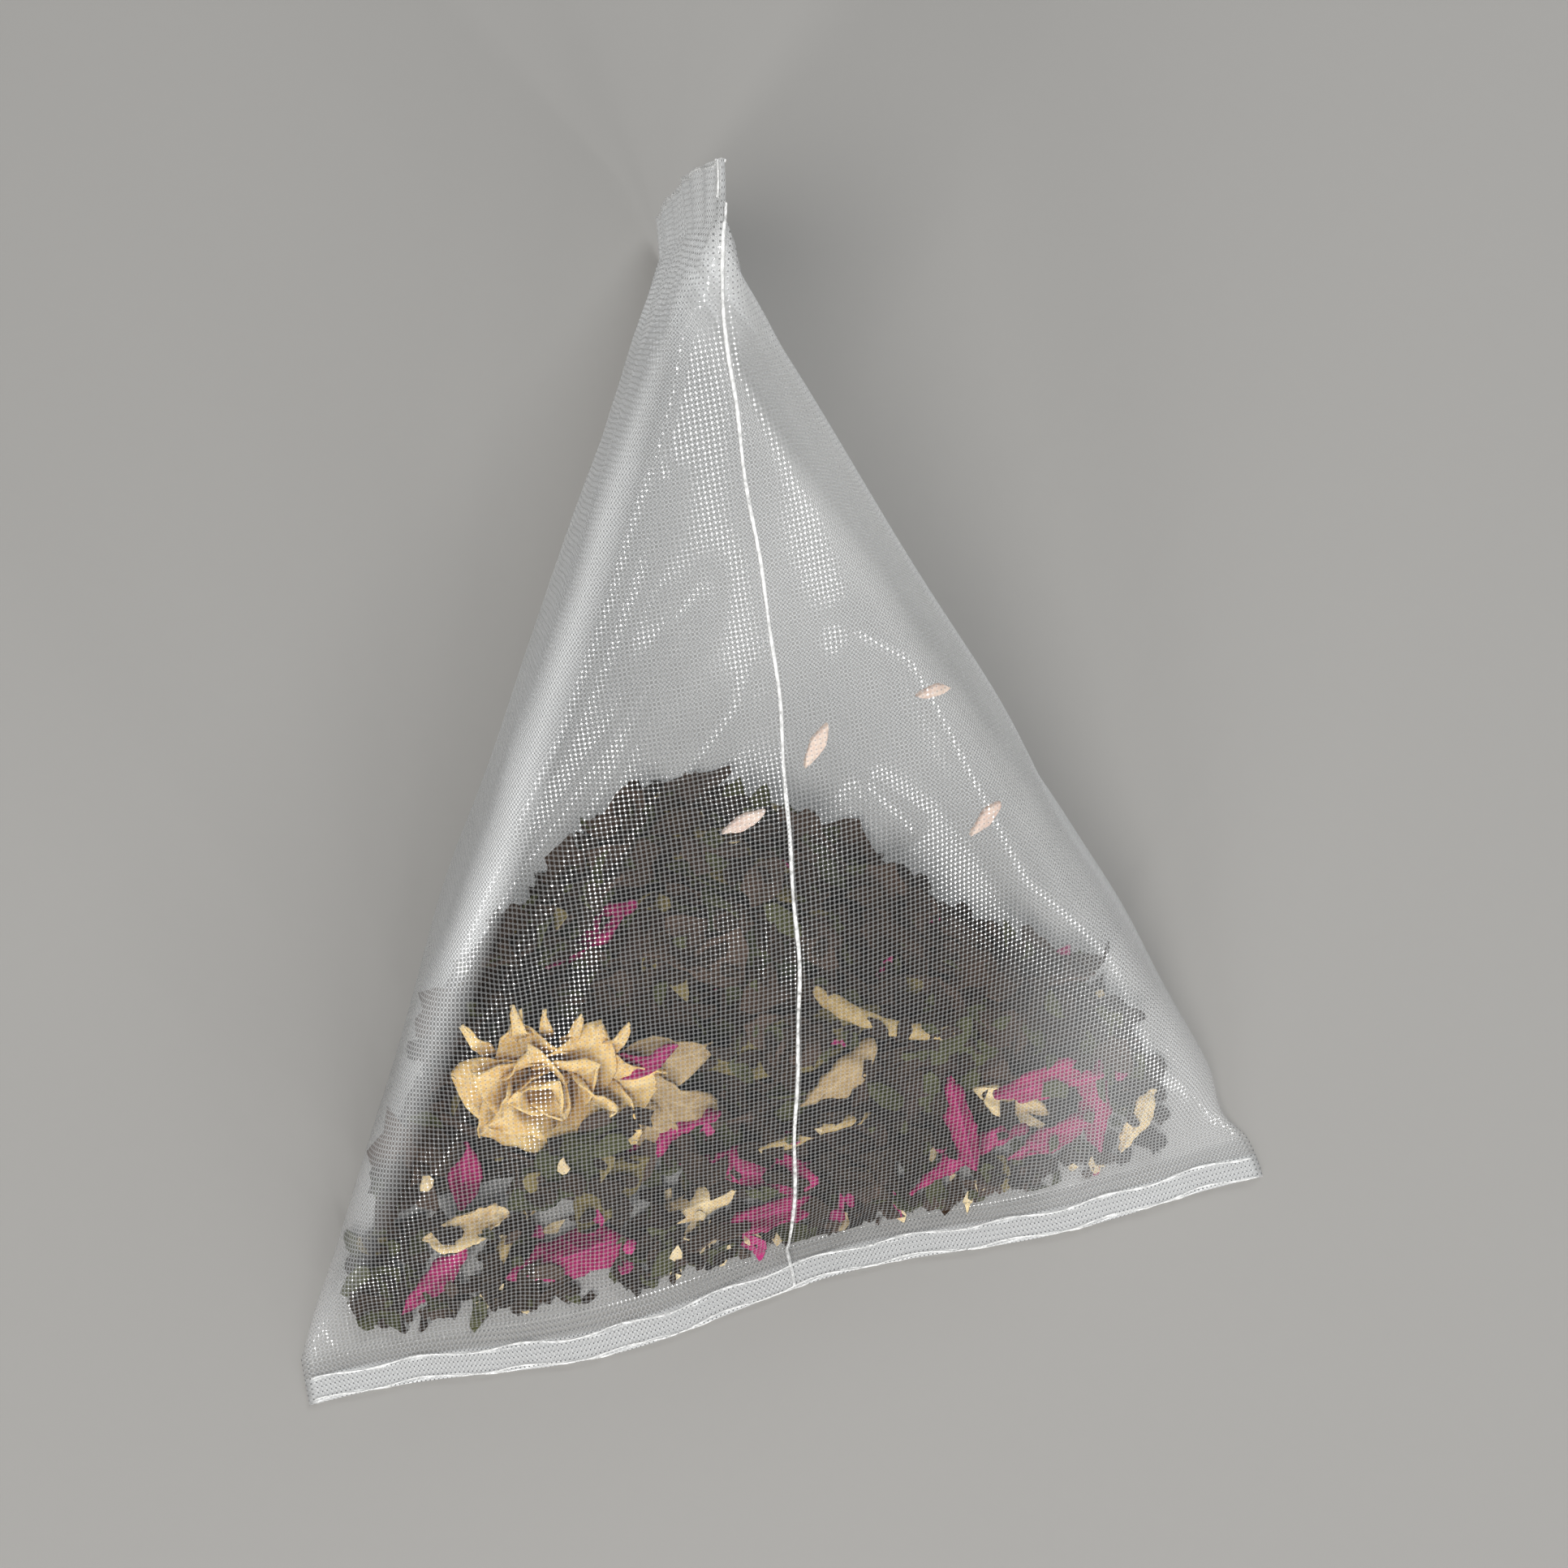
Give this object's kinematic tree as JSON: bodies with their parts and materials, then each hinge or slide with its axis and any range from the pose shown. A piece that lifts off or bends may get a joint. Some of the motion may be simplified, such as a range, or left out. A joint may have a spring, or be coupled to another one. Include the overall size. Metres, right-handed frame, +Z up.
{
  "type": "pyramid tea bag",
  "caption": "Soft pyramid-shaped mesh tea bag with crossed heat seals and a welded seam, filled with loose leaves, petals and a flower head for steeping.",
  "frame": {"origin": "on the flat underside that the bag rests on, 22 mm behind the near cut edge and in line with its middle", "axes": "+Z up from the face it rests on; the near seal runs along X; the far seal and the standing tip are towards +Y"},
  "size_m": [0.0555, 0.0671, 0.0473],
  "materials": {
    "mesh_fabric": "fine translucent plain-weave mesh, satin glints",
    "crushed_leaf": "matt crushed dried leaf",
    "dark_leaf": "matt dried leaf, brown to black",
    "olive_leaf": "matt dried leaf, olive",
    "pink_petal": "matt dried petal, magenta",
    "cream_petal": "matt dried petal, cream",
    "flower": "matt dried flower head, cream-yellow",
    "straw_stalk": "matt dried stalk, straw"
  },
  "bodies": {
    "root": {"cream_petal_1": "cream_petal", "cream_petal_2": "cream_petal", "cream_petal_3": "cream_petal", "cream_petal_4": "cream_petal", "cream_petal_5": "cream_petal", "crushed_leaf_bed": "crushed_leaf", "dark_leaf_01": "dark_leaf", "dark_leaf_02": "dark_leaf", "dark_leaf_03": "dark_leaf", "dark_leaf_04": "dark_leaf", "dark_leaf_05": "dark_leaf", "dark_leaf_06": "dark_leaf", "dark_leaf_07": "dark_leaf", "dark_leaf_08": "dark_leaf", "dark_leaf_09": "dark_leaf", "dark_leaf_10": "dark_leaf", "dark_leaf_11": "dark_leaf", "dark_leaf_12": "dark_leaf", "dark_leaf_13": "dark_leaf", "dark_leaf_14": "dark_leaf", "dark_leaf_15": "dark_leaf", "dark_leaf_16": "dark_leaf", "dark_leaf_17": "dark_leaf", "dark_leaf_18": "dark_leaf", "flower_head": "flower", "mesh_bag": "mesh_fabric", "olive_leaf_1": "olive_leaf", "olive_leaf_2": "olive_leaf", "olive_leaf_3": "olive_leaf", "olive_leaf_4": "olive_leaf", "pink_petal_01": "pink_petal", "pink_petal_02": "pink_petal", "pink_petal_03": "pink_petal", "pink_petal_04": "pink_petal", "pink_petal_05": "pink_petal", "pink_petal_06": "pink_petal", "pink_petal_07": "pink_petal", "pink_petal_08": "pink_petal", "pink_petal_09": "pink_petal", "pink_petal_10": "pink_petal", "pink_petal_11": "pink_petal", "pink_petal_12": "pink_petal", "stalk_1": "straw_stalk", "stalk_2": "straw_stalk", "stalk_3": "straw_stalk", "stray_petal_1": "pink_petal", "stray_petal_2": "cream_petal", "stray_petal_3": "pink_petal", "stray_petal_4": "cream_petal"}
  },
  "joints": []
}
